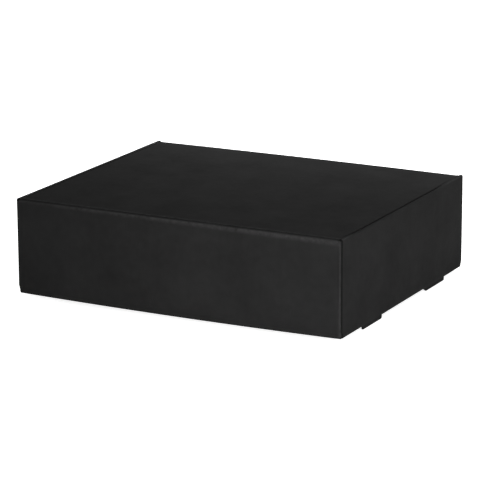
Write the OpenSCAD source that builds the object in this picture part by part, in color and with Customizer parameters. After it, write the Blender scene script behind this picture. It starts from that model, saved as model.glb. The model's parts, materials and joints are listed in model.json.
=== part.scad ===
// Folding gift box of thin corrugated board, closed, standing on its locking tabs.
// One die-cut sheet: each panel between two creases is a part of its own.
// X runs along the hinge, Y from the hinge wall to the front wall, Z up.
// The origin is under the middle of the box, level with the free edges of the tabs.

/* [Box] */
// Outside length along the hinge
box_w = 340; // [220:1:460]
// Outside depth from the hinge wall to the front wall
box_d = 275; // [220:1:400]
// Outside height of the rolled side walls, from the underside of the base
box_h = 92.5; // [75:0.5:140]

/* [Board] */
// Thickness of the board
board_t = 1.2; // [0.8:0.1:1.8]
// Inside radius of a right-angle fold
fold_in_r = 0.3; // [0.2:0.1:0.8]
// Play between two layers of a rolled side wall
layer_play = 0.15; // [0.1:0.05:0.4]
// Play between the end of one panel and the face of the next
end_play = 0.3; // [0.2:0.1:0.8]
// Gap that stands for the crushed board in a crease that moves
crease_gap = 0.3; // [0.2:0.1:0.6]

/* [Side walls] */
// How far the ends of a side wall stand back from the long walls' outer faces
side_setback = 1.4; // [1:0.1:3]
// Length of the relief cut at the lower corners of a side wall, along the base
relief_len = 2.3; // [1:0.1:5]
// Height of that relief cut
relief_h = 6; // [3:0.5:12]

/* [Locking tabs] */
// Length of a tab at its root
tab_len = 42; // [25:1:50]
// How far the tabs stand out below the base
tab_drop = 4.8; // [2:0.1:8]
// Radius of a tab's free corners
tab_corner_r = 1.8; // [0.5:0.1:2]
// Length of the slanted lead-in at the inner end of each front tab
tab_lead = 9; // [5:1:14]
// From the hinge wall's outer face to the hinge tab
hinge_tab_inset = 50.5; // [40:0.5:60]
// From the front wall's outer face to the front tab
front_tab_inset = 38; // [30:0.5:50]
// Play of a tab in its slot, along the slot
slot_end_play = 0.8; // [0.3:0.1:2]
// Play of a tab in its slot, on each face
slot_face_play = 0.1; // [0.1:0.05:0.3]

/* [Corner flaps] */
// Length of the flaps that the side walls roll over
corner_flap_len = 80; // [50:1:100]
// Angle by which their upper and lower edges draw in
corner_flap_taper = 3; // [0:0.5:6]
// Radius of their free corners
corner_flap_r = 12; // [4:1:20]

/* [Lid] */
// How far the lid lies below the tops of the side walls
lid_drop = 0.8; // [0.2:0.1:2]
// Play between the lid and the walls that it drops between
lid_play = 0.4; // [0.3:0.1:1]
// How far the front wall's cut edge lies below the lid
front_edge_drop = 1; // [0.5:0.1:4]
// Outside radius of the soft shoulder below the hinge crease
shoulder_r = 18; // [10:1:26]
// Angle by which the board leans in at the top of the shoulder
shoulder_lean = 18; // [8:1:24]
// Width of the crushed valley of the hinge crease
hinge_valley = 0.5; // [0.4:0.1:1]
// Radius of the lid's upper edge along the valley
valley_edge_r = 0.6; // [0.3:0.1:0.7]

/* [Lid ears] */
// Depth of the ears that tuck in beside the side walls
ear_depth = 36; // [24:1:44]
// From the hinge crease to the root of an ear
ear_hinge_inset = 8; // [5:1:20]
// From the tuck flap's crease to the root of an ear
ear_front_inset = 9; // [9:1:20]
// Slant of an ear's hinge end
ear_hinge_slant = 15; // [5:1:30]
// Slant of an ear's front end, which keeps it clear of the folded tuck flap
ear_front_slant = 45; // [45:1:50]
// Radius of an ear's free corners
ear_r = 10; // [4:1:12]

/* [Tuck flap] */
// Depth of the flap that tucks in behind the front wall
tuck_depth = 50; // [36:1:60]
// From the lid's side to the flap's root, at each end
tuck_side_inset = 2; // [1.8:0.1:6]
// Slant of the flap's ends
tuck_slant = 4; // [2:0.5:10]
// Radius of the flap's free corners
tuck_r = 14; // [6:1:18]
// Angle that the flap leans in by past what its swing needs
tuck_spare_lean = 1.2; // [0.8:0.1:3]

/* [Hidden] */

$fn = 48;
arc_steps = 10; // straight steps in a rounded corner or a bend that is drawn by its points
board_black = [0.17, 0.17, 0.17];

// Levels
fold_r = board_t + fold_in_r;
base_under = tab_drop;
base_top = base_under + board_t;
wall_top = base_under + box_h;
lid_top = wall_top - lid_drop;
lid_under = lid_top - board_t;
front_edge = lid_top - front_edge_drop;

// Layers of a side wall, from the outside in
half_w = box_w / 2;
half_d = box_d / 2;
flap_out_x = half_w - board_t - layer_play;
inner_out_x = flap_out_x - board_t - layer_play;
inner_in_x = inner_out_x - board_t;
strip_w = half_w - inner_in_x;
side_end_y = half_d - side_setback;
inner_end_y = half_d - board_t - end_play;

// Lid, hinge crease and the creases of its three flaps
lid_half_w = inner_in_x - lid_play;
hinge_y = -half_d + shoulder_r - (shoulder_r - board_t) * cos(shoulder_lean);
hinge_z = lid_under;
lid_back_y = hinge_y + board_t + hinge_valley;
lid_front_y = half_d - board_t - lid_play;
tuck_axis_y = lid_front_y - board_t;
ear_axis_x = lid_half_w - board_t;
crease_z = lid_under - crease_gap / 2;
tuck_lean = asin(tuck_depth / (2 * (lid_front_y - hinge_y))) + tuck_spare_lean;

// Slots
slot_out_x = inner_out_x + slot_face_play;
slot_in_x = inner_in_x - slot_face_play;

echo(hinge = [0, hinge_y, hinge_z], tuck_crease = [0, tuck_axis_y, crease_z]);
echo(ear_crease = [ear_axis_x, 0, crease_z], tuck_lean = tuck_lean);

function unit(v) = v / norm(v);
function turned(v, a) = [v.x * cos(a) - v.y * sin(a), v.x * sin(a) + v.y * cos(a)];

// Points along an arc about centre, from one angle to another.
function arc(centre, r, from, to, first = 0) =
    [for (i = [first:arc_steps]) let (a = from + (to - from) * i / arc_steps) centre + r * [cos(a), sin(a)]];

// The points that round corner p, between neighbours a and b, to radius r.
function corner(a, p, b, r) =
    let (
        u = unit(a - p),
        v = unit(b - p),
        half = acos(u * v) / 2,
        centre = p + unit(u + v) * r / sin(half),
        start = p + u * r / tan(half) - centre,
        side = cross(start, p - centre) > 0 ? 1 : -1,
        sweep = side * (180 - 2 * half)
    )
    [for (i = [0:arc_steps]) centre + turned(start, sweep * i / arc_steps)];

// A cut outline: its corners, each with its radius, or 0 for a sharp one.
function outline(points, radii) =
    let (n = len(points))
    [for (i = [0:n - 1]) each
        radii[i] == 0 ? [points[i]]
        : corner(points[(i + n - 1) % n], points[i], points[(i + 1) % n], radii[i])];

// Carries a YZ drawing along X, between two places.
module along_x(x0, x1) {
    translate([x0, 0, 0])
        rotate([90, 0, 90])
            linear_extrude(x1 - x0)
                children();
}

// Carries an XZ drawing along Y, between two places.
module along_y(y0, y1) {
    translate([0, y1, 0])
        rotate([90, 0, 0])
            linear_extrude(y1 - y0)
                children();
}

// A rectangle between two corners.
module plate(low, high) {
    translate(low)
        square(high - low);
}

// The board's section in a right-angle fold: a quarter ring in the lower right quadrant.
module fold_section(centre) {
    translate(centre)
        difference() {
            intersection() {
                circle(fold_r);
                translate([0, -fold_r])
                    square(fold_r);
            }
            circle(fold_in_r);
        }
}

// A solid quarter round in the upper right quadrant, for the stretched side of a crease.
module quarter_round(centre, r) {
    translate(centre)
        intersection() {
            circle(r);
            square(r);
        }
}

module on_left() {
    mirror([1, 0, 0])
        children();
}

module on_front() {
    mirror([0, 1, 0])
        children();
}

// Base: a flat panel between the four folds, with a slot for each locking tab.
module slot(y0, y1) {
    translate([slot_in_x, y0 - slot_end_play, base_under - end_play])
        cube([slot_out_x - slot_in_x, y1 - y0 + 2 * slot_end_play, board_t + 2 * end_play]);
}

module base_panel() {
    color(board_black)
        difference() {
            translate([fold_r - half_w, fold_r - half_d, base_under])
                cube([box_w - 2 * fold_r, box_d - 2 * fold_r, board_t]);
            for (side = [0, 1])
                mirror([side, 0, 0]) {
                    slot(hinge_tab_inset - half_d, hinge_tab_inset - half_d + tab_len);
                    slot(half_d - front_tab_inset - tab_len - tab_lead, half_d - front_tab_inset);
                }
        }
}

// Hinge wall: the fold at the base, the flat wall, and under the lid's crease a soft shoulder
// that leans in and ends in a bead round the crease line.
module shoulder_section() {
    centre = [shoulder_r - half_d, hinge_z - (shoulder_r - board_t) * sin(shoulder_lean)];
    leaned = 180 - shoulder_lean;
    fold_top = base_under + fold_r;
    polygon(concat(
        [[board_t - half_d, fold_top], [-half_d, fold_top]],
        arc(centre, shoulder_r, 180, leaned),
        arc([hinge_y, hinge_z], board_t, leaned, 90, first = 1),
        arc(centre, shoulder_r - board_t, leaned, 180)
    ));
}

module hinge_wall() {
    corner_x = flap_out_x - fold_r;
    color(board_black) {
        along_x(-lid_half_w, lid_half_w)
            shoulder_section();
        for (side = [0, 1])
            mirror([side, 0, 0])
                along_x(lid_half_w, corner_x)
                    plate([-half_d, base_under + fold_r], [board_t - half_d, hinge_z]);
        along_x(-corner_x, corner_x)
            mirror([1, 0])
                fold_section([half_d - fold_r, base_under + fold_r]);
    }
}

// Front wall: the fold at the base and a flat wall up to its cut edge.
module front_wall() {
    corner_x = flap_out_x - fold_r;
    color(board_black)
        along_x(-corner_x, corner_x) {
            fold_section([half_d - fold_r, base_under + fold_r]);
            plate([half_d - board_t, base_under + fold_r], [half_d, front_edge]);
        }
}

// Side wall's outer layer, with its lower corners relieved beside the long walls' folds.
module right_outer_wall() {
    relieved_y = side_end_y - relief_len;
    top_z = wall_top - fold_r;
    fold_top = base_under + fold_r;
    color(board_black) {
        along_x(half_w - board_t, half_w)
            polygon([
                [-relieved_y, fold_top], [relieved_y, fold_top],
                [side_end_y, fold_top + relief_h], [side_end_y, top_z],
                [-side_end_y, top_z], [-side_end_y, fold_top + relief_h]
            ]);
        along_y(-relieved_y, relieved_y)
            fold_section([half_w - fold_r, fold_top]);
    }
}

// The strip on top of a side wall, with the folds to its outer and inner layers.
module right_roll_strip() {
    color(board_black)
        along_y(-side_end_y, side_end_y)
            translate([half_w - strip_w, wall_top]) {
                plate([fold_r, -board_t], [strip_w - fold_r, 0]);
                mirror([0, 1]) {
                    fold_up = fold_r;
                    translate([strip_w, 0])
                        fold_section([-fold_r, fold_up]);
                    mirror([1, 0])
                        fold_section([-fold_r, fold_up]);
                }
            }
}

// One locking tab, hanging from the inner wall: root length, and a lead-in at its low-Y end.
module tab_outline(y0, y1, lead) {
    root_z = base_top + board_t;
    free = lead > 0
        ? outline(
            [[y0, root_z], [y0, base_under], [y0 + lead, 0], [y1, 0], [y1, root_z]],
            [0, 0, tab_corner_r, tab_corner_r, 0])
        : outline(
            [[y0, root_z], [y0, 0], [y1, 0], [y1, root_z]],
            [0, tab_corner_r, tab_corner_r, 0]);
    polygon(free);
}

// Side wall's inner layer, standing on the base, with its two tabs through the slots.
module right_inner_wall() {
    front_y = half_d - front_tab_inset;
    hinge_tab_y = hinge_tab_inset - half_d;
    color(board_black)
        along_x(inner_in_x, inner_out_x) {
            plate([-inner_end_y, base_top], [inner_end_y, wall_top - fold_r]);
            tab_outline(hinge_tab_y, hinge_tab_y + tab_len, 0);
            tab_outline(front_y - tab_len - tab_lead, front_y, tab_lead);
        }
}

// Corner flap: the upright fold at the end of the hinge wall and the plate inside the side wall.
module hinge_right_corner_flap() {
    root_y = fold_r - half_d;
    end_y = corner_flap_len - half_d;
    low_z = base_top + end_play;
    high_z = wall_top - board_t - end_play;
    draw_in = (end_y - root_y) * tan(corner_flap_taper);
    color(board_black) {
        along_x(flap_out_x - board_t, flap_out_x)
            polygon(outline(
                [[root_y, low_z], [end_y, low_z + draw_in], [end_y, high_z - draw_in], [root_y, high_z]],
                [0, corner_flap_r, corner_flap_r, 0]));
        translate([0, 0, low_z])
            linear_extrude(high_z - low_z)
                fold_section([flap_out_x - fold_r, root_y]);
    }
}

// Lid: a flat panel whose side and front edges round down into the creases of its flaps.
module lid_side_section() {
    plate([-ear_axis_x, lid_under], [ear_axis_x, lid_top]);
    for (side = [0, 1])
        mirror([side, 0])
            quarter_round([ear_axis_x, lid_under], board_t);
}

module lid_front_section() {
    plate([lid_back_y, lid_under], [tuck_axis_y, lid_top - valley_edge_r]);
    plate([lid_back_y + valley_edge_r, lid_under], [tuck_axis_y, lid_top]);
    quarter_round([tuck_axis_y, lid_under], board_t);
    mirror([1, 0])
        quarter_round([-lid_back_y - valley_edge_r, lid_top - valley_edge_r], valley_edge_r);
}

module lid_panel() {
    color(board_black)
        intersection() {
            along_y(lid_back_y, lid_front_y)
                lid_side_section();
            along_x(-lid_half_w, lid_half_w)
                lid_front_section();
        }
}

// Tuck flap, drawn upright under its crease and then leaned in.
module tuck_flap() {
    root_x = lid_half_w - tuck_side_inset;
    tip_x = root_x - tuck_depth * tan(tuck_slant);
    root_z = -crease_gap / 2;
    color(board_black)
        translate([0, tuck_axis_y, crease_z])
            rotate([-tuck_lean, 0, 0])
                along_y(0, board_t)
                    polygon(outline(
                        [[-root_x, root_z], [-tip_x, -tuck_depth], [tip_x, -tuck_depth], [root_x, root_z]],
                        [0, tuck_r, tuck_r, 0]));
}

// Lid ear: hangs from the lid's side edge. Its front end is mitred to clear the tuck flap.
module right_lid_ear() {
    hinge_end = hinge_y + ear_hinge_inset;
    front_end = tuck_axis_y - ear_front_inset;
    root_z = lid_under - crease_gap;
    tip_z = lid_under - ear_depth;
    drop = root_z - tip_z;
    color(board_black)
        along_x(ear_axis_x, lid_half_w)
            polygon(outline(
                [
                    [hinge_end, root_z], [hinge_end + drop * tan(ear_hinge_slant), tip_z],
                    [front_end - drop * tan(ear_front_slant), tip_z], [front_end, root_z]
                ],
                [0, ear_r, ear_r, 0]));
}

base_panel();
hinge_wall();
front_wall();
on_left() right_outer_wall();  // left_outer_wall
right_outer_wall();
on_left() right_roll_strip();  // left_roll_strip
right_roll_strip();
on_left() right_inner_wall();  // left_inner_wall
right_inner_wall();
on_left() hinge_right_corner_flap();  // hinge_left_corner_flap
hinge_right_corner_flap();
on_front() on_left() hinge_right_corner_flap();  // front_left_corner_flap
on_front() hinge_right_corner_flap();  // front_right_corner_flap
lid_panel();
tuck_flap();
on_left() right_lid_ear();  // left_lid_ear
right_lid_ear();
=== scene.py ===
import json
import math

import bmesh
import bpy
from mathutils import Matrix, Vector, noise


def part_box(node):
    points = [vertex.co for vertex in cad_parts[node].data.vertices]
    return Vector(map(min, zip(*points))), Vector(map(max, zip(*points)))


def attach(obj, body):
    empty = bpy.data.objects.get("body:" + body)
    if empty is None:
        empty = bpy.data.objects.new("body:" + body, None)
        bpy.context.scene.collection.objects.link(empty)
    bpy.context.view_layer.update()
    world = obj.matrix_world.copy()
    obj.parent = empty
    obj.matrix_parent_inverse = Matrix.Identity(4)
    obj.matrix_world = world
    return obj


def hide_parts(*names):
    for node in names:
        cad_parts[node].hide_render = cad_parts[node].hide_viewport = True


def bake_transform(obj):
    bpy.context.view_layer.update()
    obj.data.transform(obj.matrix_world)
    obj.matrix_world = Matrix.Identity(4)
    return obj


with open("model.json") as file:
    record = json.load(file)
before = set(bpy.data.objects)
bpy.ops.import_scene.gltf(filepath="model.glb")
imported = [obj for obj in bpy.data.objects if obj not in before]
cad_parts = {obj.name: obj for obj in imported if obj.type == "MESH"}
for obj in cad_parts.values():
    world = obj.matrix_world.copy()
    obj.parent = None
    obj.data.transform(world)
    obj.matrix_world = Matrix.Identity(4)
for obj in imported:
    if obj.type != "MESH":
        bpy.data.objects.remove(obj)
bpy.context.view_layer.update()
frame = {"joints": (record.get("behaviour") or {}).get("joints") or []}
mm = 0.001
tolerance = 0.01 * mm          # places this near to each other count as one

# places and sizes taken from the frame
baseLow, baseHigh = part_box("base_panel")
hingeLow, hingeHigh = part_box("hinge_wall")
frontLow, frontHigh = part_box("front_wall")
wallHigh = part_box("right_outer_wall")[1]
stripLow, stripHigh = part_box("right_roll_strip")
innerLow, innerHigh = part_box("right_inner_wall")
flapLow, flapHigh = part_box("hinge_right_corner_flap")
lidLow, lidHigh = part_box("lid_panel")
earLow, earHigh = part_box("right_lid_ear")
creaseAt = {joint["name"]: Vector(joint["pos_m"]) for joint in frame["joints"]}

board = {
    "thickness": lidHigh.z - lidLow.z,
    "facing": 0.2 * mm,            # each paper facing
    "medium": 0.16 * mm,           # the fluted paper between them
    "flutePitch": 2.4 * mm,
    "stepsPerFlute": 8,
    "grooveDepth": 1.3 * mm,       # how far a raw edge is open
    "setBack": 0.05 * mm,          # the fluted paper ends this far behind the facings
    "ribbonEnd": 0.3 * mm,         # and leaves this free at each end of the edge
    "edgeBand": 0.05 * mm,         # how near a face of a raw edge lies to that edge's place
    "foldOuter": baseLow.y - hingeLow.y,
    "foldSteps": 6,
    "supportRow": 2 * mm,          # a narrow row of faces beside a fold keeps its shading there
    "smoothAngle": 32,             # degrees
}
thickness = board["thickness"]
foldOuter = board["foldOuter"]
hingeCrease = creaseAt["lid_crease"]
tuckCrease = creaseAt["tuck_crease"]
earCrease = creaseAt["right_ear_crease"]
wallFoot = baseLow.z + foldOuter   # where the walls stand up from their lower folds
wallTop = stripHigh.z

print("scene: camera")

camera = {
    "azimuth": 27.61,       # degrees, from looking along +Y
    "elevation": 15.0,
    "roll": -0.28,
    "distance": 2.575,      # from the aim point
    "lens": 200.7,
    "sensor": 36,
    "clip": (0.1, 50),
    "aimHeight": 0.0498,
    "across": -0.00339,     # sideways and upward offset of the camera
    "up": -0.0056,
}


def makeCamera(view):
    azimuth = math.radians(view["azimuth"])
    elevation = math.radians(view["elevation"])
    back = Vector((
        math.sin(azimuth) * math.cos(elevation),
        -math.cos(azimuth) * math.cos(elevation),
        math.sin(elevation),
    ))
    right = Vector((math.cos(azimuth), math.sin(azimuth), 0))
    up = back.cross(right)
    roll = Matrix.Rotation(math.radians(view["roll"]), 3, back)
    right, up = roll @ right, roll @ up
    place = Vector((0, 0, view["aimHeight"])) + back * view["distance"]
    place += right * view["across"] + up * view["up"]
    data = bpy.data.cameras.new("photoCamera")
    data.lens = view["lens"]
    data.sensor_width = view["sensor"]
    data.clip_start, data.clip_end = view["clip"]
    made = bpy.data.objects.new("photoCamera", data)
    bpy.context.scene.collection.objects.link(made)
    turn = Matrix((right, up, back)).transposed()
    made.matrix_world = Matrix.Translation(place) @ turn.to_4x4()
    bpy.context.scene.camera = made


makeCamera(camera)
bpy.context.scene.view_settings.view_transform = "Standard"

print("scene: light")

light = {
    "world": 0.4,
    "aim": (0, 0, 0.05),       # of each lamp that has none of its own
    "spread": 180,             # degrees, the same
    "lamps": {
        "backStrip": {"place": (0.0, 0.26, 0.24), "size": (0.6, 0.1), "power": 0.9},
        "rightLamp": {"place": (0.8, -0.05, 0.15), "size": (0.3, 0.15), "power": 1.28},
        "frontLamp": {"place": (0.4, -0.6, 0.14), "size": (0.25, 0.12), "power": 1.3},
        "frontFill": {
            "place": (0.45, -1.25, 0.18), "size": (0.2, 0.1), "power": 0.1,
            "aim": (0.065, -0.14, 0.05), "spread": 26,       # a grid keeps it off the left end
        },
        "farFill": {"place": (-0.15, 0.75, 0.07), "size": (0.4, 0.06), "power": 3.0},
        "leftFill": {"place": (-0.8, 0.14, 0.07), "size": (0.3, 0.06), "power": 2.8},
    },
}


def seenDirectly(tree):
    # 1 on the rays that show the backdrop itself: seen, mirrored or through glass
    path = tree.nodes.new("ShaderNodeLightPath")
    seen = path.outputs["Is Camera Ray"]
    for way in ("Is Glossy Ray", "Is Transmission Ray"):
        either = tree.nodes.new("ShaderNodeMath")
        either.operation = "MAXIMUM"
        tree.links.new(seen, either.inputs[0])
        tree.links.new(path.outputs[way], either.inputs[1])
        seen = either.outputs[0]
    return seen


def makeWorld(strength):
    world = bpy.data.worlds.new("studioWorld")
    world.use_nodes = True
    bpy.context.scene.world = world
    nodes, links = world.node_tree.nodes, world.node_tree.links
    nodes.clear()
    dim, white = nodes.new("ShaderNodeBackground"), nodes.new("ShaderNodeBackground")
    dim.inputs["Strength"].default_value = strength
    for backdrop in (dim, white):
        backdrop.inputs["Color"].default_value = (1, 1, 1, 1)
    mix = nodes.new("ShaderNodeMixShader")
    links.new(seenDirectly(world.node_tree), mix.inputs[0])
    links.new(dim.outputs[0], mix.inputs[1])
    links.new(white.outputs[0], mix.inputs[2])
    out = nodes.new("ShaderNodeOutputWorld")
    links.new(mix.outputs[0], out.inputs["Surface"])


def areaLamp(name, lamp):
    data = bpy.data.lights.new(name, "AREA")
    data.shape = "RECTANGLE"
    data.size, data.size_y = lamp["size"]
    data.energy = lamp["power"]
    data.spread = math.radians(lamp.get("spread", light["spread"]))
    made = bpy.data.objects.new(name, data)
    bpy.context.scene.collection.objects.link(made)
    made.location = lamp["place"]
    aim = Vector(lamp.get("aim", light["aim"])) - Vector(lamp["place"])
    made.rotation_euler = aim.to_track_quat("-Z", "Y").to_euler()
    made.visible_camera = False


makeWorld(light["world"])
for name, lamp in light["lamps"].items():
    areaLamp(name, lamp)


# the steps that every sheet of board is modelled with

def deselectAll():
    for obj in bpy.context.selected_objects:
        obj.select_set(False)


def makeActive(obj):
    deselectAll()
    obj.select_set(True)
    bpy.context.view_layer.objects.active = obj


def startEdit(obj):
    makeActive(obj)
    bpy.ops.object.mode_set(mode="EDIT")


def endEdit():
    bpy.ops.object.mode_set(mode="OBJECT")


def pick(kind, test):
    bpy.ops.mesh.select_mode(type={"verts": "VERT", "edges": "EDGE", "faces": "FACE"}[kind])
    bpy.ops.mesh.select_all(action="DESELECT")
    mesh = bmesh.from_edit_mesh(bpy.context.object.data)
    chosen = [item for item in getattr(mesh, kind) if test(item)]
    for item in chosen:
        item.select_set(True)
    bmesh.update_edit_mesh(bpy.context.object.data)
    return len(chosen)


def applyModifier(obj, kind, **settings):
    makeActive(obj)
    modifier = obj.modifiers.new(kind.title(), kind)
    for name, value in settings.items():
        setattr(modifier, name, value)
    bpy.ops.object.modifier_apply(modifier=modifier.name)


def drawOn(*steps):
    for step in steps:
        bpy.ops.mesh.extrude_region_move(TRANSFORM_OT_translate={"value": step})


def drawAlong(rows, way):
    # on from row to row, which are places along one axis
    drawOn(*[Vector(way) * (there - here) for here, there in zip(rows, rows[1:])])


def startLine(name, points):
    # one corner of a plane, drawn out point by point; it stays in edit mode
    deselectAll()
    bpy.ops.mesh.primitive_plane_add(size=0.01, location=(0, 0, 0))
    obj = bpy.context.object
    obj.name = obj.data.name = name
    startEdit(obj)
    pick("verts", lambda v: v.index > 0)
    bpy.ops.mesh.delete(type="VERT")
    pick("verts", lambda v: True)
    first = next(iter(bmesh.from_edit_mesh(obj.data).verts)).co.copy()
    bpy.ops.transform.translate(value=Vector(points[0]) - first)
    drawOn(*[Vector(there) - Vector(here) for here, there in zip(points, points[1:])])
    bpy.ops.mesh.select_all(action="SELECT")
    return obj


def bendOn(centre, axis, degrees, steps):
    # spin turns against the right hand, so the angle is given its other sign
    bpy.ops.mesh.spin(steps=steps, angle=math.radians(-degrees), center=centre, axis=axis)


def stationsBetween(low, high, spacing, extra=()):
    # even places, without those too near to the extra ones, which are added
    count = max(1, round((high - low) / spacing))
    places = [low + (high - low) * i / count for i in range(count + 1)]
    nearest = 0.3 * spacing
    kept = [p for p in places if p in (low, high) or all(abs(p - e) > nearest for e in extra)]
    return sorted(set(kept) | {e for e in extra if low < e < high})


def evenSteps(run, spacing):
    count = max(1, round(run / spacing))
    return [run / count] * count


def faceOutwards(obj, outward):
    # an open sheet is turned over if most of its faces look away from outward(centre)
    bpy.ops.mesh.select_all(action="SELECT")
    bpy.ops.mesh.normals_make_consistent(inside=False)
    mesh = bmesh.from_edit_mesh(obj.data)
    mesh.normal_update()
    ways = [face.normal.dot(outward(face.calc_center_median())) for face in mesh.faces]
    if sum(1 if way > 0 else -1 for way in ways) < 0:
        bpy.ops.mesh.flip_normals()


def givePaints(obj):
    obj.data.materials.clear()
    obj.data.materials.append(facingPaint)
    obj.data.materials.append(edgeAndShadePaint)


def makeBoard(obj):
    applyModifier(
        obj, "SOLIDIFY", thickness=thickness, offset=-1, use_even_offset=True,
        use_rim=True, material_offset_rim=1,
    )


def openEdges(obj, test):
    # the raw edge between the facings is sunk, and the fluted paper stands in it
    startEdit(obj)
    if pick("faces", lambda f: f.material_index == 1 and test(f.calc_center_median())):
        bpy.ops.mesh.inset(
            thickness=board["facing"], depth=0, use_boundary=True, use_even_offset=True,
        )
        sink = {"value": -board["grooveDepth"]}
        bpy.ops.mesh.extrude_region_shrink_fatten(TRANSFORM_OT_shrink_fatten=sink)
    endEdit()


def fluteRibbon(length, place):
    # place(along, depth, wave) gives a point of the fluted paper
    count = max(2, round(length / board["flutePitch"] * board["stepsPerFlute"]))
    deselectAll()
    bpy.ops.mesh.primitive_grid_add(x_subdivisions=count, y_subdivisions=1, size=1)
    ribbon = bpy.context.object
    height = (thickness - 2 * board["facing"] - board["medium"]) / 2
    for vertex in ribbon.data.vertices:
        along = (vertex.co.x + 0.5) * length
        depth = (vertex.co.y + 0.5) * board["grooveDepth"] + board["setBack"]
        wave = height * math.cos(along / board["flutePitch"] * 2 * math.pi)
        vertex.co = place(along, depth, wave)
    applyModifier(ribbon, "SOLIDIFY", thickness=board["medium"], offset=0, use_even_offset=True)
    givePaints(ribbon)
    for face in ribbon.data.polygons:
        face.material_index = 1
    return ribbon


def joinTo(obj, parts):
    makeActive(obj)
    for part in parts:
        part.select_set(True)
    bpy.ops.object.join()


def smoothstep(value):
    value = min(1, max(0, value))
    return value * value * (3 - 2 * value)


def ramp(value, start, full):
    # from 0 at start to 1 at full
    return smoothstep((value - start) / (full - start))


def foldLine(start, end, reach):
    # a fold painted lighter, partly as wear and partly as painted highlight: its two ends, and how far
    # that paint reaches from it
    return Vector(start), Vector(end), reach


def segmentDistance(point, start, end):
    run = end - start
    share = min(1, max(0, (point - start).dot(run) / run.length_squared))
    return (point - start - run * share).length


def markSurface(obj, across, folds):
    # acrossFlutes is the distance across the flutes, and the fold attribute is 1 on a fold painted
    # lighter, partly as wear and partly as painted highlight
    mesh = obj.data
    flutes = mesh.attributes.new("acrossFlutes", "FLOAT", "POINT")
    wear = mesh.attributes.new("foldWear", "FLOAT", "POINT")
    for index, vertex in enumerate(mesh.vertices):
        flutes.data[index].value = across(vertex.co)
        near = 0
        for start, end, reach in folds:
            near = max(near, 1 - segmentDistance(vertex.co, start, end) / reach)
        wear.data[index].value = smoothstep(near)


def finishSheet(obj, body, nodes, across, folds=()):
    makeActive(obj)
    bpy.ops.object.shade_smooth_by_angle(angle=math.radians(board["smoothAngle"]))
    markSurface(obj, across, folds)
    if body:
        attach(obj, body)
    if nodes:
        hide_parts(*nodes)


print("scene: paints")

facing = {
    "colour": 0.021,
    "mottle": 0.2,             # how far the black varies in broad patches
    # lighter paint on the folds: partly wear, partly painted highlight on the hinge wall's shoulder and
    # corners
    "sheenAndWearColour": 0.048,
    "sheenAndWearSpread": 1.0,
    "roughness": 0.92,
    "roughnessSwing": 0.16,
    "gloss": 0.006,
    "ripple": 0.016 * mm,      # height of the flutes showing through
    "grain": 0.010 * mm,
}
# the raw edges' dark grey is partly the board's core and partly painted shade for the gaps beside them
rawEdgeAndShade = {"colour": 0.009, "roughness": 0.95, "gloss": 0.1, "leastFibre": 0.5}
patches = {"broadShare": 0.65, "contrast": 4.0}
sheenAndWearBreaks = {"gain": 1.6, "start": -0.3}
noises = {                     # scale per metre, and detail
    "broadPatches": (22, 2),
    "finePatches": (140, 3),
    "ripple": (60, 1),
    "wear": (260, 4),
    "roughness": (90, 3),
    "grain": (2600, 3),
    "fibres": (900, 4),
}


def newGroup(name, inputs, outputs):
    group = bpy.data.node_groups.new(name, "ShaderNodeTree")
    for label, kind, value in inputs:
        socket = group.interface.new_socket(name=label, in_out="INPUT", socket_type=kind)
        socket.default_value = value
    for label, kind in outputs:
        group.interface.new_socket(name=label, in_out="OUTPUT", socket_type=kind)
    return group, group.nodes.new("NodeGroupInput"), group.nodes.new("NodeGroupOutput")


def addMath(tree, operation, *values):
    node = tree.nodes.new("ShaderNodeMath")
    node.operation = operation
    for socket, value in zip(node.inputs, values):
        if isinstance(value, (int, float)):
            socket.default_value = value
        else:
            tree.links.new(value, socket)
    return node.outputs[0]


def addNoise(tree, kind):
    spot = tree.nodes.new("ShaderNodeTexCoord").outputs["Object"]
    node = tree.nodes.new("ShaderNodeTexNoise")
    node.inputs["Scale"].default_value, node.inputs["Detail"].default_value = noises[kind]
    tree.links.new(spot, node.inputs["Vector"])
    return node.outputs["Fac"]


def makeMottle():
    # broad cloudy patches with finer ones in them, about 1 in the middle
    group, given, out = newGroup(
        "paperMottle",
        [("Amount", "NodeSocketFloat", 0.1)],
        [("Factor", "NodeSocketFloat")],
    )
    broad = addMath(group, "MULTIPLY", addNoise(group, "broadPatches"), patches["broadShare"])
    fine = addMath(group, "MULTIPLY", addNoise(group, "finePatches"), 1 - patches["broadShare"])
    aboutHalf = addMath(group, "SUBTRACT", addMath(group, "ADD", broad, fine), 0.5)
    swing = addMath(group, "MULTIPLY", aboutHalf, patches["contrast"])
    amount = addMath(group, "MULTIPLY", swing, given.outputs["Amount"])
    group.links.new(addMath(group, "ADD", amount, 1.0), out.inputs["Factor"])
    return group


def makeRipple():
    # the flutes telegraph through the facing as shallow ridges
    group, given, out = newGroup(
        "fluteRipple",
        [("Pitch", "NodeSocketFloat", board["flutePitch"])],
        [("Height", "NodeSocketFloat")],
    )
    across = group.nodes.new("ShaderNodeAttribute")
    across.attribute_name = "acrossFlutes"
    turns = addMath(group, "DIVIDE", across.outputs["Fac"], given.outputs["Pitch"])
    wave = addMath(group, "SINE", addMath(group, "MULTIPLY", turns, 2 * math.pi))
    uneven = addMath(group, "MULTIPLY", wave, addNoise(group, "ripple"))
    group.links.new(uneven, out.inputs["Height"])
    return group


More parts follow.
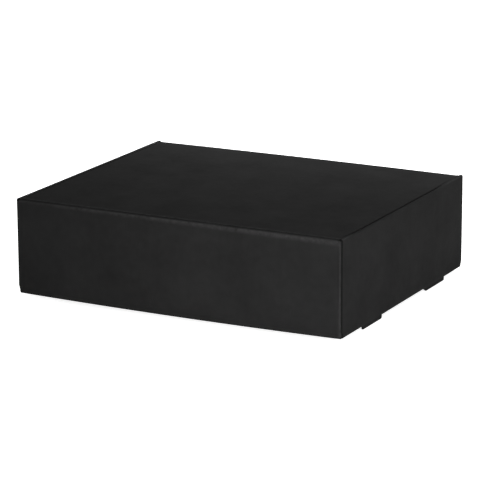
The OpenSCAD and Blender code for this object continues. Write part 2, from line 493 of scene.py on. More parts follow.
def makeSheenAndWear():
    # worn folds and painted highlights on folds, broken up so that they aren't even lines
    group, given, out = newGroup(
        "foldWearMask",
        [("Spread", "NodeSocketFloat", 1.0)],
        [("Mask", "NodeSocketFloat")],
    )
    near = group.nodes.new("ShaderNodeAttribute")
    near.attribute_name = "foldWear"
    patchy = addMath(group, "MULTIPLY", addNoise(group, "wear"), sheenAndWearBreaks["gain"])
    broken = addMath(group, "ADD", patchy, sheenAndWearBreaks["start"])
    mask = addMath(group, "MULTIPLY", near.outputs["Fac"], broken)
    spread = addMath(group, "MULTIPLY", mask, given.outputs["Spread"])
    clamp = group.nodes.new("ShaderNodeClamp")
    group.links.new(spread, clamp.inputs["Value"])
    group.links.new(clamp.outputs[0], out.inputs["Mask"])
    return group


def placeGroup(tree, group, **values):
    node = tree.nodes.new("ShaderNodeGroup")
    node.node_tree = group
    for name, value in values.items():
        node.inputs[name].default_value = value
    return node.outputs[0]


def newPaint(name):
    paint = bpy.data.materials.new(name)
    paint.use_nodes = True
    return paint, paint.node_tree, paint.node_tree.nodes["Principled BSDF"]


def paintGrey(tree, grey, shader):
    colour = tree.nodes.new("ShaderNodeCombineColor")
    for channel in ("Red", "Green", "Blue"):
        tree.links.new(grey, colour.inputs[channel])
    tree.links.new(colour.outputs[0], shader.inputs["Base Color"])


def makeFacing(name, look, groups):
    paint, tree, shader = newPaint(name)
    mottle = placeGroup(tree, groups["mottle"], Amount=look["mottle"])
    wear = placeGroup(tree, groups["wear"], Spread=look["sheenAndWearSpread"])
    black = addMath(tree, "MULTIPLY", mottle, look["colour"])
    # folds are painted lighter: partly wear, partly painted highlight
    lift = addMath(tree, "MULTIPLY", wear, look["sheenAndWearColour"] - look["colour"])
    paintGrey(tree, addMath(tree, "ADD", black, lift), shader)
    swing = addMath(tree, "MULTIPLY", addNoise(tree, "roughness"), look["roughnessSwing"])
    rough = addMath(tree, "ADD", swing, look["roughness"] - look["roughnessSwing"] / 2)
    tree.links.new(rough, shader.inputs["Roughness"])
    shader.inputs["Specular IOR Level"].default_value = look["gloss"]
    ripple = addMath(tree, "MULTIPLY", placeGroup(tree, groups["ripple"]), look["ripple"] / mm)
    grain = addMath(tree, "MULTIPLY", addNoise(tree, "grain"), look["grain"] / mm)
    bump = tree.nodes.new("ShaderNodeBump")
    bump.inputs["Distance"].default_value = mm
    bump.inputs["Strength"].default_value = 1.0
    tree.links.new(addMath(tree, "ADD", ripple, grain), bump.inputs["Height"])
    tree.links.new(bump.outputs[0], shader.inputs["Normal"])
    return paint


def makeEdge(name, look):
    paint, tree, shader = newPaint(name)
    fibres = addMath(tree, "ADD", addNoise(tree, "fibres"), look["leastFibre"])
    # the raw edge's colour is darkened as painted shade for the gaps beside it
    paintGrey(tree, addMath(tree, "MULTIPLY", fibres, look["colour"]), shader)
    shader.inputs["Roughness"].default_value = look["roughness"]
    shader.inputs["Specular IOR Level"].default_value = look["gloss"]
    return paint


surfaceGroups = {"mottle": makeMottle(), "ripple": makeRipple(), "wear": makeSheenAndWear()}
facingPaint = makeFacing("blackFacing", facing, surfaceGroups)
edgeAndShadePaint = makeEdge("rawBoardEdge", rawEdgeAndShade)

print("scene: base")

base = {
    "spacing": 12 * mm,
    "sag": 1.5 * mm,
    "slotSidePlay": 0.1 * mm,      # between a tab and its slot
    "slotEndPlay": 0.8 * mm,
}
tabs = {
    "hinge": (-87.0 * mm, -45.0 * mm),
    "front": (48.5 * mm, 99.5 * mm),
    "leadEnd": 57.5 * mm,          # of the front tab's slanted lead-in
    "leadLeft": 0.08,              # share of its width that stays straight along the free edge
    "lastRow": 1.5 * mm,
    "cornerRadius": 1.8 * mm,
    "cornerSteps": 4,
}
slotX = (innerLow.x - base["slotSidePlay"], innerHigh.x + base["slotSidePlay"])
slotY = [
    (low - base["slotEndPlay"], high + base["slotEndPlay"])
    for low, high in (tabs["hinge"], tabs["front"])
]


def sagAt(place):
    # the base hangs a little between its walls, most in the middle of the long sides
    across = 1 - (place.x / baseHigh.x) ** 2
    return -base["sag"] * max(0, across)


def isInSlot(place):
    inside = slotX[0] < abs(place.x) < slotX[1]
    return inside and any(low < place.y < high for low, high in slotY)


def makeBase():
    slotSides = [side * x for side in (-1, 1) for x in slotX]
    slotEnds = [y for ends in slotY for y in ends]
    columns = stationsBetween(baseLow.x, baseHigh.x, base["spacing"], slotSides)
    rows = stationsBetween(baseLow.y, baseHigh.y, base["spacing"], slotEnds)
    sheet = startLine("baseSheet", [(x, rows[0], baseLow.z) for x in columns])
    drawAlong(rows, (0, 1, 0))
    pick("faces", lambda f: isInSlot(f.calc_center_median()))
    bpy.ops.mesh.delete(type="FACE")
    faceOutwards(sheet, lambda centre: Vector((0, 0, -1)))
    endEdit()
    givePaints(sheet)
    makeBoard(sheet)
    for vertex in sheet.data.vertices:
        vertex.co.z += sagAt(vertex.co)
    finishSheet(sheet, "tray", ["base_panel"], lambda p: p.x)


makeBase()

print("scene: hinge wall and front wall")

hingeWall = {
    "spacing": 4 * mm,
    "rowHeight": 12 * mm,
    "shoulderRadius": 18 * mm,
    "shoulderLean": 18.0,       # degrees
    "shoulderSteps": 9,
    "straightEnd": 2.7 * mm,    # over which the shoulder fades out at each corner
    "unevenness": 0.16 * mm,
    "unevenBand": 9 * mm,       # below and above the shoulder's start
    "unevenFade": 4 * mm,       # over which half of it fades out on the shoulder
    "broadWaves": (55, 3.1, 30),    # per metre along the wall, seed, per metre up it
    "fineWaves": (160, 7.7, 60),
    "fineShare": 0.6,
    "flare": 0.75 * mm,         # the lower right corner has been pushed in
    "flareHeight": 34 * mm,
    "flareRise": 0.8,           # share of that height over which it comes in, downwards
    "flareWidth": 5 * mm,
    "cornerSheenAndWear": 1.7 * mm,     # how far the wear and painted highlight reach from each corner fold
    # painted highlights: up the pushed-in lower right corner, and along the shoulder
    "flareHighlight": 3.4 * mm,
    "shoulderHighlight": 4.4 * mm,
    "shoulderHighlightTilt": 1.6 * mm,   # this painted highlight lies higher at the left end, and lower at the right
}
frontWall = {"spacing": 8 * mm, "rowHeight": 12 * mm, "cornerSheenAndWear": 2.4 * mm}
cornerFlap = {
    "length": flapHigh.y - hingeLow.y,
    "lastRow": 12 * mm,
    "taper": 3,                 # degrees, above and below
    "cutCorner": 0.2,           # share of half its height, over the last row
}
shoulderLean = math.radians(hingeWall["shoulderLean"])
shoulderStart = hingeCrease.z - (hingeWall["shoulderRadius"] - thickness) * math.sin(shoulderLean)


def leanShare(x):
    return smoothstep((hingeHigh.x - abs(x)) / hingeWall["straightEnd"])


def startWall(name, columns, edgeY, turn, top, rowHeight):
    # from the base's edge round the lower fold and up
    sheet = startLine(name, [(x, edgeY, baseLow.z) for x in columns])
    bendOn((0, edgeY, wallFoot), (1, 0, 0), turn, board["foldSteps"])
    drawOn((0, 0, board["supportRow"]))
    drawAlong(stationsBetween(wallFoot + board["supportRow"], top, rowHeight), (0, 0, 1))
    return sheet


def addCornerFlap(side, wallY, toInside):
    # the wall's end folds round an upright line and lies inside the rolled side wall
    edgeX = side * hingeHigh.x
    low = flapLow.z - tolerance
    pick("edges", lambda e: all(abs(v.co.x - edgeX) < tolerance and v.co.z > low for v in e.verts))
    bendOn((edgeX, wallY + toInside * foldOuter, 0), (0, 0, 1), 90 * side * toInside, board["foldSteps"])
    first, last = board["supportRow"], cornerFlap["lastRow"]
    middle = cornerFlap["length"] - foldOuter - first - last
    drawOn(*[(0, toInside * run, 0) for run in (first, middle, last)])


def taperFlap(sheet, wallY, toInside):
    # the flap draws in towards its free end, which has cut corners
    middle = (flapLow.z + flapHigh.z) / 2
    halfHeight = (flapHigh.z - flapLow.z) / 2
    for vertex in sheet.data.vertices:
        far = (vertex.co.y - wallY) * toInside
        if abs(vertex.co.x) < flapHigh.x - foldOuter or far < foldOuter:
            continue
        scale = 1 - far * math.tan(math.radians(cornerFlap["taper"])) / halfHeight
        if far > cornerFlap["length"] - thickness:
            scale -= cornerFlap["cutCorner"]
        vertex.co.z = middle + (vertex.co.z - middle) * scale


def faceWallOutwards(sheet, way):
    # the wall looks along way, and its corner flaps look out at the box's ends
    def outward(centre):
        return Vector((0, way, 0)) if abs(centre.x) < hingeHigh.x else Vector((centre.x, 0, 0))

    faceOutwards(sheet, outward)


def acrossWall(place):
    # the flutes stand upright, so they are counted along the wall and on round its corner
    return place.x if abs(place.x) < hingeHigh.x else place.x + place.y


# the upright corner folds are painted lighter, partly as wear and partly as painted highlight
def cornerFolds(y, reach):
    return [foldLine((x, y, baseLow.z), (x, y, wallTop), reach) for x in (-flapHigh.x, flapHigh.x)]


def sagFoot(place, top):
    # a wall's foot goes down with the base, and its top stays
    place.z += sagAt(place) * (1 - ramp(place.z, baseLow.z, top))


def pushCorner(place):
    height = hingeWall["flareHeight"]
    low = smoothstep((hingeLow.z + height - place.z) / (hingeWall["flareRise"] * height))
    corner = ramp(place.x, hingeHigh.x - hingeWall["flareWidth"], hingeHigh.x) ** 2
    place.y += hingeWall["flare"] * low * corner


def wavesAt(place, waves):
    along, seed, up = waves
    return noise.noise(Vector((place.x * along, seed, place.z * up)))


def shapeShoulder(place):
    # it stands straight at the wall's ends, and its edge is uneven
    over = ramp(place.z, shoulderStart, shoulderStart + hingeWall["unevenFade"])
    lean = leanShare(place.x)
    if place.z > shoulderStart:
        place.y = hingeLow.y + (place.y - hingeLow.y) * lean
    ripple = wavesAt(place, hingeWall["broadWaves"])
    ripple += hingeWall["fineShare"] * wavesAt(place, hingeWall["fineWaves"])
    band = smoothstep(1 - abs(place.z - shoulderStart) / hingeWall["unevenBand"]) * lean
    place.y += hingeWall["unevenness"] * (1 + ripple) * band * (1 - over / 2)


def makeHingeWall():
    fades = [hingeHigh.x - hingeWall["straightEnd"] * quarter / 4 for quarter in (1, 2, 3, 4)]
    bothEnds = [side * x for side in (-1, 1) for x in fades]
    columns = stationsBetween(hingeLow.x, hingeHigh.x, hingeWall["spacing"], bothEnds)
    rowHeight = hingeWall["rowHeight"]
    sheet = startWall("hingeWallSheet", columns, baseLow.y, -90, shoulderStart, rowHeight)
    centre = (0, hingeLow.y + hingeWall["shoulderRadius"], shoulderStart)
    bendOn(centre, (1, 0, 0), -hingeWall["shoulderLean"], hingeWall["shoulderSteps"])
    for side in (-1, 1):
        addCornerFlap(side, hingeLow.y, 1)
    faceWallOutwards(sheet, -1)
    endEdit()
    givePaints(sheet)
    for vertex in sheet.data.vertices:
        pushCorner(vertex.co)
        if abs(vertex.co.x) <= hingeHigh.x + tolerance:
            shapeShoulder(vertex.co)
            sagFoot(vertex.co, shoulderStart)
    makeBoard(sheet)
    taperFlap(sheet, hingeLow.y, 1)
    # a painted highlight up the pushed-in lower right corner
    flareHighlightLine = foldLine(
        (flapHigh.x, hingeLow.y + thickness / 2, baseLow.z),
        (flapHigh.x, hingeLow.y + thickness, baseLow.z + hingeWall["flareHeight"]),
        hingeWall["flareHighlight"],
    )
    # a painted highlight along the shoulder, set higher at the left end
    shoulderY, tilt = hingeLow.y + thickness / 3, hingeWall["shoulderHighlightTilt"]
    shoulder = foldLine(
        (-hingeHigh.x, shoulderY, hingeCrease.z + tilt),
        (hingeHigh.x, shoulderY, hingeCrease.z - tilt),
        hingeWall["shoulderHighlight"],
    )
    finishSheet(
        sheet, "tray", ["hinge_wall", "hinge_left_corner_flap", "hinge_right_corner_flap"],
        acrossWall, [*cornerFolds(hingeLow.y, hingeWall["cornerSheenAndWear"]), flareHighlightLine, shoulder],
    )


def makeFrontWall():
    columns = stationsBetween(frontLow.x, frontHigh.x, frontWall["spacing"])
    rowHeight = frontWall["rowHeight"]
    sheet = startWall("frontWallSheet", columns, baseHigh.y, 90, frontHigh.z, rowHeight)
    for side in (-1, 1):
        addCornerFlap(side, frontHigh.y, -1)
    faceWallOutwards(sheet, 1)
    endEdit()
    givePaints(sheet)
    for vertex in sheet.data.vertices:
        if abs(vertex.co.x) <= frontHigh.x + tolerance:
            sagFoot(vertex.co, frontHigh.z)
    makeBoard(sheet)
    taperFlap(sheet, frontHigh.y, -1)
    top = frontHigh.z - board["edgeBand"]
    openEdges(sheet, lambda p: p.z > top and abs(p.x) < frontHigh.x)
    middle = frontHigh.y - thickness / 2
    ribbon = fluteRibbon(
        2 * frontHigh.x,
        lambda along, depth, wave: Vector((along - frontHigh.x, middle + wave, frontHigh.z - depth)),
    )
    joinTo(sheet, [ribbon])
    finishSheet(
        sheet, "tray", ["front_wall", "front_left_corner_flap", "front_right_corner_flap"],
        acrossWall, cornerFolds(frontHigh.y, frontWall["cornerSheenAndWear"]),
    )


makeHingeWall()
makeFrontWall()

print("scene: rolled side walls")

rolledWall = {
    "spacing": 9 * mm,
    "rowHeight": 12 * mm,
    "relief": 2.3 * mm,         # cut back beside the long walls' folds
    "reliefHeight": 6 * mm,
    "topSag": {"right": 1.2 * mm, "left": 0.15 * mm},  # the rolled edge is lower along its middle
    "sagBand": (14 * mm, 2 * mm),       # below the top, where the sag starts and is full
    "topPinch": 0.5 * mm,       # and narrower, so that the seam beside the lid opens there
    "pinchBand": (4 * mm, 1 * mm),      # below the top, where the pinch starts and is full
    "pinchFade": 1.5 * mm,      # inwards from the middle of the strip
    "hingeRise": (4 * mm, 30 * mm),     # from the lid's hinge end, where both start and are full
    "frontRise": (30 * mm, 64 * mm),    # and from its free end
    "topWear": 1.6 * mm,        # how far the wear reaches from each fold
    "footWear": 2.0 * mm,
}
outerFoldX = wallHigh.x - foldOuter
innerFoldX = stripLow.x + foldOuter
betweenX = (wallHigh.x + stripLow.x) / 2     # between the outer and the inner layer
rollFoot = wallTop - foldOuter               # where the board begins to roll over
reliefY = stripHigh.y - rolledWall["relief"]


def middleShare(y):
    # 1 along the middle of a side wall, 0 at its ends
    start, full = rolledWall["hingeRise"]
    share = ramp(y, lidLow.y + start, lidLow.y + full)
    start, full = rolledWall["frontRise"]
    return share * ramp(y, lidHigh.y - start, lidHigh.y - full)


def drawRolledSheet(side, name):
    # from the base's edge up the outside, over the strip and down the inside
    marks = [-reliefY, reliefY, *tabs["hinge"], *tabs["front"], tabs["leadEnd"]]
    columns = stationsBetween(-stripHigh.y, stripHigh.y, rolledWall["spacing"], marks)
    quarter = ((0, 1, 0), -90 * side, board["foldSteps"])
    support, relief = board["supportRow"], rolledWall["reliefHeight"]
    rise = rollFoot - wallFoot - relief - support
    drop = rollFoot - baseHigh.z - 2 * support
    sheet = startLine(name, [(side * outerFoldX, y, baseLow.z) for y in columns])
    bendOn((side * outerFoldX, 0, wallFoot), *quarter)
    rises = [support, relief - support, *evenSteps(rise, rolledWall["rowHeight"]), support]
    drawOn(*[(0, 0, step) for step in rises])
    bendOn((side * outerFoldX, 0, rollFoot), *quarter)
    drawOn((side * (innerFoldX - outerFoldX), 0, 0))
    bendOn((side * innerFoldX, 0, rollFoot), *quarter)
    drops = [support, *evenSteps(drop, rolledWall["rowHeight"]), support]
    drawOn(*[(0, 0, -step) for step in drops])
    return sheet


def drawTabs(sheet):
    # the hinge one is square, the front one has a slanted lead-in
    root = baseHigh.z
    leadStart, leadEnd = tabs["front"][0], tabs["leadEnd"]
    corners = (*tabs["hinge"], tabs["front"][1])

    def isRoot(edge, low, high):
        a, b = (v.co for v in edge.verts)
        level = max(abs(a.z - root), abs(b.z - root)) < 2 * tolerance
        within = low - tolerance < min(a.y, b.y) and max(a.y, b.y) < high + tolerance
        return level and within and abs(a.x) < betweenX

    pick("edges", lambda e: isRoot(e, *tabs["hinge"]))
    drawOn((0, 0, tabs["lastRow"] - root), (0, 0, -tabs["lastRow"]))
    pick("edges", lambda e: isRoot(e, *tabs["front"]))
    drawOn((0, 0, baseLow.z - root), (0, 0, -baseLow.z))
    mesh = bmesh.from_edit_mesh(sheet.data)
    for vertex in mesh.verts:
        if vertex.co.z < tolerance and leadStart - tolerance < vertex.co.y < leadEnd - tolerance:
            vertex.co.y = leadEnd - (leadEnd - vertex.co.y) * tabs["leadLeft"]
    bmesh.update_edit_mesh(sheet.data)
    pick("verts", lambda v: v.co.z < tolerance and any(abs(v.co.y - y) < tolerance for y in corners))
    bpy.ops.mesh.bevel(offset=tabs["cornerRadius"], segments=tabs["cornerSteps"], affect="VERTICES")


def trimRolledSheet(sheet):
    # the outer layer is cut back at its foot, and the inner one is shorter
    for vertex in sheet.data.vertices:
        place = vertex.co
        if place.z >= rollFoot:
            continue
        limit = innerHigh.y
        if abs(place.x) > betweenX:
            risen = min(1, max(0, (place.z - wallFoot) / rolledWall["reliefHeight"]))
            limit = reliefY + rolledWall["relief"] * risen
        place.y = max(-limit, min(limit, place.y))
    startEdit(sheet)
    bpy.ops.mesh.select_all(action="SELECT")
    bpy.ops.mesh.remove_doubles(threshold=tolerance)
    bpy.ops.mesh.dissolve_degenerate(threshold=tolerance / 2)
    endEdit()


def rolledRibbons(side):
    # the fluted paper in the raw ends of the outer layer, upwards, and of the inner one, downwards
    layers = (
        (wallHigh.x - thickness / 2, stripHigh.y, 1, wallFoot + rolledWall["reliefHeight"], rollFoot),
        (stripLow.x + thickness / 2, innerHigh.y, -1, rollFoot, baseHigh.z),
    )
    ribbons = []
    for end in (-1, 1):
        for middleX, edgeY, way, start, finish in layers:
            first = start + way * board["ribbonEnd"]

            def place(along, depth, wave, middleX=middleX, edgeY=edgeY, way=way, first=first):
                return Vector((side * (middleX + way * wave), end * (edgeY - depth), first + way * along))

            ribbons.append(fluteRibbon(abs(finish - start) - 2 * board["ribbonEnd"], place))
    return ribbons


def settleRolledWall(sheet, side, sag):
    sagBand = [wallTop - below for below in rolledWall["sagBand"]]
    pinchBand = [wallTop - below for below in rolledWall["pinchBand"]]
    for vertex in sheet.data.vertices:
        place = vertex.co
        share = middleShare(place.y)
        inwards = smoothstep((betweenX - abs(place.x)) / rolledWall["pinchFade"])
        place.x += side * rolledWall["topPinch"] * share * ramp(place.z, *pinchBand) * inwards
        place.z -= sag * share * ramp(place.z, *sagBand)


def makeRolledWall(side, word):
    sheet = drawRolledSheet(side, word + "RolledWall")
    drawTabs(sheet)

    def outward(centre):
        if centre.z > rollFoot:
            return Vector((0, 0, 1))
        return Vector((side if abs(centre.x) > betweenX else -side, 0, 0))

    faceOutwards(sheet, outward)
    endEdit()
    givePaints(sheet)
    trimRolledSheet(sheet)
    makeBoard(sheet)
    rawEnd = innerHigh.y - board["edgeBand"]
    rawFoot = wallFoot + rolledWall["reliefHeight"]
    openEdges(sheet, lambda p: abs(p.y) > rawEnd and p.z > rawFoot)
    joinTo(sheet, rolledRibbons(side))
    settleRolledWall(sheet, side, rolledWall["topSag"][word])
    folds = [
        foldLine((side * x, -y, z), (side * x, y, z), reach)
        for x, y, z, reach in (
            (wallHigh.x, stripHigh.y, wallTop, rolledWall["topWear"]),
            (stripLow.x, stripHigh.y, wallTop, rolledWall["topWear"]),
            (wallHigh.x, reliefY, baseLow.z, rolledWall["footWear"]),
        )
    ]
    nodes = [word + "_outer_wall", word + "_roll_strip", word + "_inner_wall"]
    finishSheet(sheet, "tray", nodes, lambda p: p.x + p.z, folds)


makeRolledWall(1, "right")
makeRolledWall(-1, "left")

print("scene: lid")

lid = {
    "spacing": 8 * mm,
    "bow": 0.7 * mm,           # arch of the free edge
    "valleyEdge": 0.6 * mm,    # rounding of the edge at the hinge crease
    "valleySteps": 4,
    "cornerReach": 1.1 * mm,   # where no flap follows, the lid goes this far past the crease
    "valleyWear": 2 * mm,      # how far the wear reaches from each fold
    "frontWear": 2.2 * mm,
    "sideWear": 2 * mm,
}
tuckFlap = {
    "spacing": 8 * mm,
    "sideInset": 2 * mm,
    "depth": 50 * mm,
    "slant": 4,                # degrees
    "cornerRadius": 14 * mm,
    "cornerSteps": 7,
    "spareLean": 1.2,          # degrees, beyond the lean at which it only just clears the front wall
    "bowFade": 20 * mm,        # down from the crease, over which the lid's arch fades out
}
ear = {
    "spacing": 8 * mm,
    "hingeInset": 8 * mm,
    "frontInset": 9 * mm,
    "depth": lidLow.z - earLow.z,
    "hingeSlant": 15,          # degrees
    "frontSlant": 45,
    "cornerRadius": 10 * mm,
    "cornerSteps": 7,
    "ribbonEnd": 0.4 * mm,     # free of fluted paper at each end of a slant
}
earStart = hingeCrease.y + ear["hingeInset"]
earEnd = tuckCrease.y - ear["frontInset"]
tuckHalf = lidHigh.x - tuckFlap["sideInset"]
creaseGap = 2 * (lidLow.z - tuckCrease.z)
clearingLean = math.asin(tuckFlap["depth"] / (2 * (lidHigh.y - hingeCrease.y)))
tuckLean = clearingLean + math.radians(tuckFlap["spareLean"])


def bowAt(place):
    # the lid arches a little, most at the middle of its free edge
    across = max(0, 1 - (place.x / lidHigh.x) ** 2)
    return lid["bow"] * across * ramp(place.y, lidLow.y, lidHigh.y)


def makeLid():
    columns = stationsBetween(-earCrease.x, earCrease.x, lid["spacing"], (-tuckHalf, tuckHalf))
    rows = stationsBetween(lidLow.y, tuckCrease.y, lid["spacing"], (earStart, earEnd))
    sheet = startLine("lidSheet", [(x, rows[0], lidHigh.z) for x in columns])
    drawAlong(rows, (0, 1, 0))

    def isBesideEar(edge, edgeX):
        a, b = (v.co for v in edge.verts)
        atCrease = max(abs(a.x - edgeX), abs(b.x - edgeX)) < tolerance
        return atCrease and not earStart < (a.y + b.y) / 2 < earEnd

    def isBesideTuck(edge):
        a, b = (v.co for v in edge.verts)
        return min(a.y, b.y) > tuckCrease.y - tolerance and abs(a.x + b.x) / 2 > tuckHalf

    def isValleyEdge(edge):
        low = max(v.co.y for v in edge.verts) < lidLow.y + tolerance
        return low and min(v.co.z for v in edge.verts) > lidHigh.z - tolerance

    for side in (-1, 1):
        pick("edges", lambda e: isBesideEar(e, side * earCrease.x))
        drawOn((side * lid["cornerReach"], 0, 0))
    pick("edges", isBesideTuck)
    drawOn((0, lid["cornerReach"], 0))
    faceOutwards(sheet, lambda centre: Vector((0, 0, 1)))
    endEdit()
    givePaints(sheet)
    makeBoard(sheet)
    startEdit(sheet)
    pick("edges", isValleyEdge)
    bpy.ops.mesh.bevel(offset=lid["valleyEdge"], segments=lid["valleySteps"])
    endEdit()
    for vertex in sheet.data.vertices:
        vertex.co.z += bowAt(vertex.co)
    left, right, top = lidLow.x, lidHigh.x, lidHigh.z
    folds = [
        foldLine((left, lidLow.y, top), (right, lidLow.y, top), lid["valleyWear"]),
        foldLine((left, lidHigh.y, top), (right, lidHigh.y, top), lid["frontWear"]),
        *[foldLine((x, lidLow.y, top), (x, lidHigh.y, top), lid["sideWear"]) for x in (left, right)],
    ]
    finishSheet(sheet, "lid", ["lid_panel"], lambda p: p.x, folds)


def cutInset(down, flap, slant):
    # how far a flap's slanted end with its rounded corner has come in at this depth
    lean = math.radians(slant)
    radius = flap["cornerRadius"]
    straight = flap["depth"] - radius
    if down <= straight + radius * math.sin(lean):
        return down * math.tan(lean)
    turn = math.asin(min(1, (down - straight) / radius))
    return straight * math.tan(lean) + radius / math.cos(lean) - radius * math.cos(turn)


def flapRows(top, flap):
    # depths down a flap, nearer to each other round its corners
    radius, steps = flap["cornerRadius"], flap["cornerSteps"]
    straight = flap["depth"] - radius
    bent = [straight + radius * math.sin(math.pi / 2 * i / steps) for i in range(1, steps + 1)]
    return stationsBetween(top, straight, flap["spacing"]) + bent


def shapeFlap(obj, root, ends, flap, slants, along):
    # columns are spread between the two cut ends at every depth
    low, high = ends
    for vertex in obj.data.vertices:
        down = root - vertex.co.z
        share = (vertex.co[along] - low) / (high - low)
        first = low + cutInset(down, flap, slants[0])
        last = high - cutInset(down, flap, slants[1])
        vertex.co[along] = first + (last - first) * share


def makeEar(side, body, node, name):
    rows = flapRows(creaseGap, ear)
    columns = stationsBetween(earStart, earEnd, ear["spacing"])
    outX = side * earHigh.x
    sheet = startLine(name, [(outX, y, lidLow.z - rows[0]) for y in columns])
    drawAlong(rows, (0, 0, -1))
    faceOutwards(sheet, lambda centre: Vector((side, 0, 0)))
    endEdit()
    givePaints(sheet)
    shapeFlap(sheet, lidLow.z, (earStart, earEnd), ear, (ear["hingeSlant"], ear["frontSlant"]), 1)
    makeBoard(sheet)
    top = lidLow.z - creaseGap
    straightEnd = lidLow.z - ear["depth"] + ear["cornerRadius"]
    middleY = (earStart + earEnd) / 2

    def isSlant(place):
        down = lidLow.z - place.z
        away = place.y - earStart - cutInset(down, ear, ear["hingeSlant"])
        if place.y > middleY:
            away = earEnd - cutInset(down, ear, ear["frontSlant"]) - place.y
        return straightEnd < place.z < top - board["edgeBand"] and abs(away) < board["edgeBand"]

    openEdges(sheet, isSlant)
    middleX = outX - side * thickness / 2
    ribbons = []
    for start, inward, slant in ((earStart, 1, ear["hingeSlant"]), (earEnd, -1, ear["frontSlant"])):
        lean = math.radians(slant)
        ribbonTop = top - ear["ribbonEnd"] - board["grooveDepth"] * math.sin(lean)
        length = (ribbonTop - straightEnd) / math.cos(lean) - ear["ribbonEnd"]
        across = Vector((0, inward * math.cos(lean), math.sin(lean)))
        way = Vector((0, inward * math.sin(lean), -math.cos(lean)))
        corner = Vector((middleX, start, lidLow.z)) + way * (lidLow.z - ribbonTop) / math.cos(lean)

        def place(along, depth, wave, corner=corner, way=way, across=across):
            return corner + way * along + across * depth + Vector((wave, 0, 0))

        ribbons.append(fluteRibbon(length, place))
    joinTo(sheet, ribbons)
    finishSheet(sheet, body, [node], lambda p: p.z)


def makeTuckFlap():
    rows = flapRows(creaseGap / 2, tuckFlap)
    columns = stationsBetween(-tuckHalf, tuckHalf, tuckFlap["spacing"])
    outY = tuckCrease.y + thickness
    sheet = startLine("tuckFlapSheet", [(x, outY, tuckCrease.z - rows[0]) for x in columns])
    drawAlong(rows, (0, 0, -1))
    faceOutwards(sheet, lambda centre: Vector((0, 1, 0)))
    endEdit()
    givePaints(sheet)
    slant = tuckFlap["slant"]
    shapeFlap(sheet, tuckCrease.z, (-tuckHalf, tuckHalf), tuckFlap, (slant, slant), 0)
    makeBoard(sheet)
    tip = tuckCrease.z - tuckFlap["depth"]
    straight = tuckHalf - cutInset(tuckFlap["depth"], tuckFlap, slant)
    openEdges(sheet, lambda p: p.z < tip + board["edgeBand"] and abs(p.x) < straight)
    middle = outY - thickness / 2
    ribbon = fluteRibbon(
        2 * straight,
        lambda along, depth, wave: Vector((along - straight, middle + wave, tip + depth)),
    )
    joinTo(sheet, [ribbon])
    # drawn upright, then leaned in about its crease
    lean = Matrix.Rotation(-tuckLean, 3, "X")
    for vertex in sheet.data.vertices:
        fading = 1 - smoothstep((tuckCrease.z - vertex.co.z) / tuckFlap["bowFade"])
        vertex.co = tuckCrease + lean @ (vertex.co - tuckCrease)
        vertex.co.z += bowAt(Vector((vertex.co.x, lidHigh.y, 0))) * fading
    finishSheet(sheet, "tuck", ["tuck_flap"], lambda p: p.x)


makeLid()
makeEar(1, "right_ear", "right_lid_ear", "rightEarSheet")
makeEar(-1, "left_ear", "left_lid_ear", "leftEarSheet")
makeTuckFlap()

print("scene: creases")

crease = {"lap": 0.06 * mm, "spacing": 6 * mm, "arcSteps": 6}
valley = {                     # places are out and up from the hinge crease
    "beadEnd": 62,             # degrees round the bead above the wall
    "floor": ((0.8 * mm, 0.5 * mm), (1.15 * mm, 0.36 * mm)),
    "lidFoot": (0.12 * mm, 0.62 * mm),    # in from the lid's end, and up
    "lidTop": 0.75 * mm,
    "insideFoot": 0.9 * mm,
    "wallFoot": 0.1 * mm,
    "wallReach": 0.5 * mm,     # out from the crease, where it starts to follow the wall's end
}


def arcPoints(centre, radius, first, last, steps):
    turns = [math.radians(first + (last - first) * i / steps) for i in range(steps + 1)]
    return [(centre[0] + radius * math.cos(t), centre[1] + radius * math.sin(t)) for t in turns]


def drawCrease(name, section, places, toPoint):
    # a closed section is filled and drawn along the crease
    strand = startLine(name, [toPoint(places[0], *point) for point in section])
    bpy.ops.mesh.edge_face_add()
    line = [Vector(toPoint(place, 0, 0)) for place in places]
    drawOn(*[there - here for here, there in zip(line, line[1:])])
    bpy.ops.mesh.select_all(action="SELECT")
    bpy.ops.mesh.normals_make_consistent(inside=False)
    endEdit()
    givePaints(strand)
    return strand


def valleySection(slant, reach):
    # from the wall's end over the bead, down into the crushed valley and up to the lid's end
    lap, foot = crease["lap"], valley["wallFoot"]
    bead = arcPoints((0, 0), thickness, math.degrees(slant), valley["beadEnd"], crease["arcSteps"])
    square = slant + math.pi / 2
    lidFoot = valley["lidFoot"]
    return [
        (bead[0][0] + lap * math.cos(square), bead[0][1] + lap * math.sin(square)),
        *bead,
        *valley["floor"],
        (reach - lidFoot[0], lidFoot[1]),
        (reach + lap, valley["lidTop"]),
        (reach + lap, 0),
        (valley["insideFoot"], 0),
        (foot * math.cos(slant) - lap, foot * math.sin(slant) - lap),
    ]


def makeHingeCrease():
    reach = lidLow.y - hingeCrease.y
    slant = math.pi - shoulderLean
    fade = hingeHigh.x - hingeWall["straightEnd"]
    places = stationsBetween(-lidHigh.x, lidHigh.x, crease["spacing"], (-fade, fade))
    strand = drawCrease(
        "hingeCreaseBoard", valleySection(slant, reach), places,
        lambda x, out, up: (x, hingeCrease.y + out, hingeCrease.z + up),
    )
    for vertex in strand.data.vertices:
        place = vertex.co
        wallSide = smoothstep((hingeCrease.y + valley["wallReach"] - place.y) / thickness)
        straight = hingeLow.y + (place.y - hingeLow.y) * leanShare(place.x)
        place.y += (straight - place.y) * wallSide
        place.z += bowAt(place)
    finishSheet(strand, None, [], lambda p: p.x)
    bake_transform(strand)


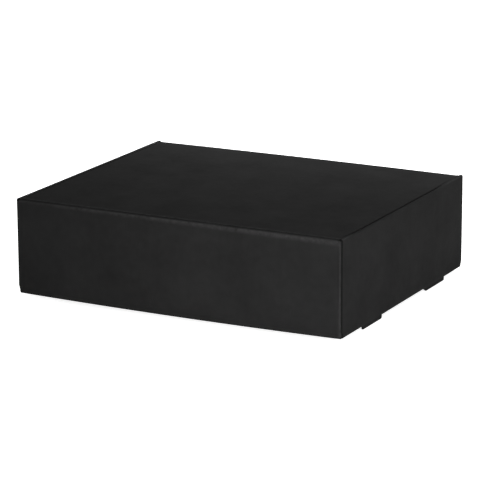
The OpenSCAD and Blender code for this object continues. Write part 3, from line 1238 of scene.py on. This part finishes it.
def foldSection(turn):
    # a solid quarter round between the lid's edge and its flap, rolled by the flap's lean
    lap, gap = crease["lap"], creaseGap
    outer = arcPoints((0, gap / 2), thickness, 90, -turn, crease["arcSteps"])
    down = (-math.sin(math.radians(turn)), -math.cos(math.radians(turn)))
    foot = (outer[-1][0] + down[0] * (gap + lap), outer[-1][1] + down[1] * (gap + lap))
    return [
        (-lap, gap / 2 + thickness), *outer, foot,
        (down[0] * (gap / 2 + lap), down[1] * (gap / 2 + lap)),
        (-lap, 0),
    ]


def makeEarCrease(side, name):
    places = stationsBetween(earStart, earEnd, crease["spacing"])
    strand = drawCrease(
        name, foldSection(0), places,
        lambda y, out, up: (side * (earCrease.x + out), y, earCrease.z + up),
    )
    for vertex in strand.data.vertices:
        vertex.co.z += bowAt(vertex.co)
    finishSheet(strand, None, [], lambda p: p.z)
    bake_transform(strand)


def makeTuckCrease():
    places = stationsBetween(-tuckHalf, tuckHalf, crease["spacing"])
    strand = drawCrease(
        "tuckCreaseBoard", foldSection(math.degrees(tuckLean)), places,
        lambda x, out, up: (x, tuckCrease.y + out, tuckCrease.z + up),
    )
    for vertex in strand.data.vertices:
        vertex.co.z += bowAt(Vector((vertex.co.x, lidHigh.y, 0)))
    finishSheet(strand, None, [], lambda p: p.x)
    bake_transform(strand)


makeHingeCrease()
makeEarCrease(1, "rightEarCrease")
makeEarCrease(-1, "leftEarCrease")
makeTuckCrease()

print("scene: floor")

floorLook = {"colour": 0.9, "roughness": 0.9, "seenGlow": 0.82, "size": 30}


def makeFloor():
    deselectAll()
    bpy.ops.mesh.primitive_plane_add(size=floorLook["size"], location=(0, 0, 0))
    floor = bpy.context.object
    floor.name = "floor"
    paint, tree, shader = newPaint("floorPaint")
    shader.inputs["Base Color"].default_value = (*[floorLook["colour"]] * 3, 1)
    shader.inputs["Roughness"].default_value = floorLook["roughness"]
    shader.inputs["Emission Color"].default_value = (1, 1, 1, 1)
    glow = addMath(tree, "MULTIPLY", seenDirectly(tree), floorLook["seenGlow"])
    tree.links.new(glow, shader.inputs["Emission Strength"])
    floor.data.materials.append(paint)


makeFloor()

print("scene: done")
